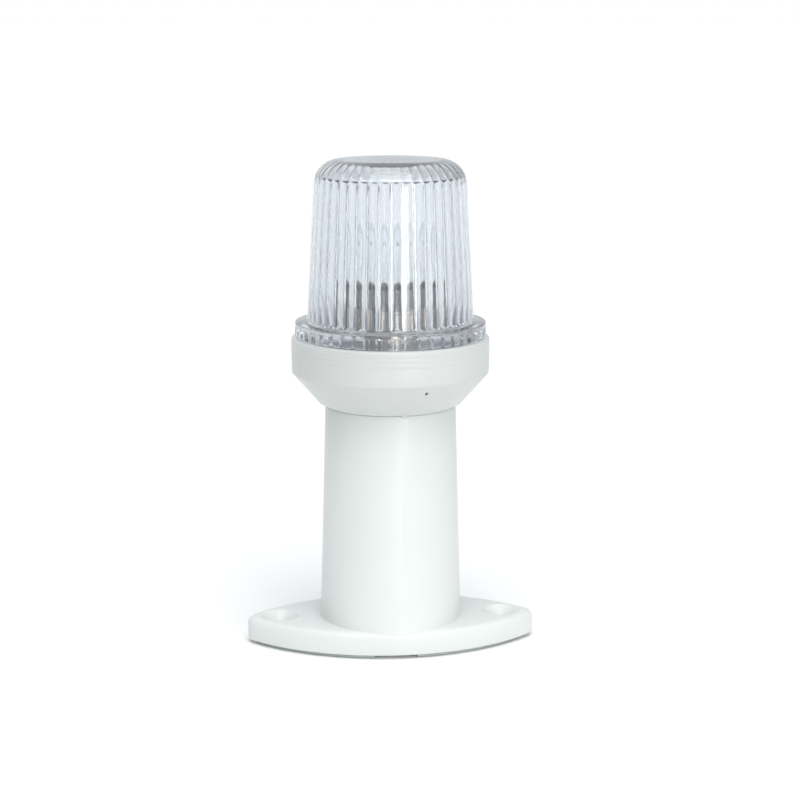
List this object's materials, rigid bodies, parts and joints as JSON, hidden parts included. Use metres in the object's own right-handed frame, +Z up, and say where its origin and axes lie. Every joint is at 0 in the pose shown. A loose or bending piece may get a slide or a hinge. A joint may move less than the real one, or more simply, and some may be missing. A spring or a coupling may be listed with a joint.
{
  "type": "navigation light",
  "caption": "Pedestal all-round navigation light: clear ribbed screw-off lens on a white head and tapered hollow pole, pointed oval base, bayonet bulb inside.",
  "frame": {"origin": "middle of the base pad's underside, on the axis of the pole", "axes": "+Z up the pole, +X along the base's length, -Y to the front, where the pad is open"},
  "size_m": [0.09, 0.061, 0.1516],
  "materials": {
    "white_plastic": "satin moulded plastic",
    "pale_rubber": "matt pale rubber",
    "lens_plastic": "clear polished plastic with moulded ribs",
    "black_rubber": "matt",
    "brown_phenolic": "moulded",
    "nickel_plate": "nickel plated brass",
    "bulb_glass": "clear",
    "black_glass": "black glass",
    "solder": "dull solder",
    "tungsten": "drawn wire",
    "brass": "plain",
    "steel": "stainless",
    "nylon": "natural nylon",
    "red_insulation": "cable insulation",
    "black_insulation": "cable insulation",
    "copper": "bare copper"
  },
  "bodies": {
    "light_body": {"base_pad": "pale_rubber", "pedestal": "white_plastic", "block_screw": "steel", "entry_grommet": "black_rubber", "terminal_block": "nylon", "terminal_screw_1": "steel", "terminal_screw_2": "steel", "terminal_screw_3": "steel", "terminal_screw_4": "steel", "terminal_sleeve_left": "brass", "terminal_sleeve_right": "brass", "core_red": "copper", "core_black": "copper", "lead_red": "red_insulation", "lead_black": "black_insulation", "head_housing": "white_plastic", "head_grommet": "black_rubber", "pole_seal": "black_rubber", "head_screw_left": "steel", "head_screw_right": "steel", "holder_base": "nylon", "holder_screw_front": "steel", "holder_screw_rear": "steel", "socket_shell": "nickel_plate", "socket_rivet_front": "brass", "socket_rivet_rear": "brass", "socket_insulator": "brown_phenolic", "centre_terminal": "brass", "shell_terminal": "brass", "contact_spring": "steel"},
    "lens_ring": {"lens_seal": "pale_rubber"},
    "lens_cover": {"lens": "lens_plastic"},
    "lamp": {"bulb_glass": "bulb_glass", "bulb_cap": "nickel_plate", "bulb_insulator": "black_glass", "bulb_contact": "solder", "bulb_stem": "bulb_glass", "filament_wire_left": "tungsten", "filament_wire_right": "tungsten", "filament": "tungsten"},
    "plunger": {"contact_plunger": "brass"}
  },
  "joints": [
    {"name": "lens_rise", "type": "slide", "parent": "light_body", "child": "lens_ring", "axis": [0, 0, 1], "range_m": [0, 0.0451]},
    {"name": "lens_turn", "type": "hinge", "parent": "lens_ring", "child": "lens_cover", "pos_m": [0, 0, 0.095], "axis": [0, 0, 1], "range_deg": [0, 900]},
    {"name": "bulb_press", "type": "slide", "parent": "light_body", "child": "lamp", "axis": [0, 0, -1], "range_m": [0, 0.002], "stiffness_N_per_m": 2500, "springref_m": -0.002},
    {"name": "plunger_travel", "type": "slide", "parent": "light_body", "child": "plunger", "axis": [0, 0, -1], "range_m": [0, 0.002], "deforming": ["contact_spring"]}
  ],
  "couplings": [
    {"joint": "lens_rise", "follows": "lens_turn", "m_per_rad": 0.0028648},
    {"joint": "plunger_travel", "follows": "bulb_press", "ratio": 1}
  ]
}
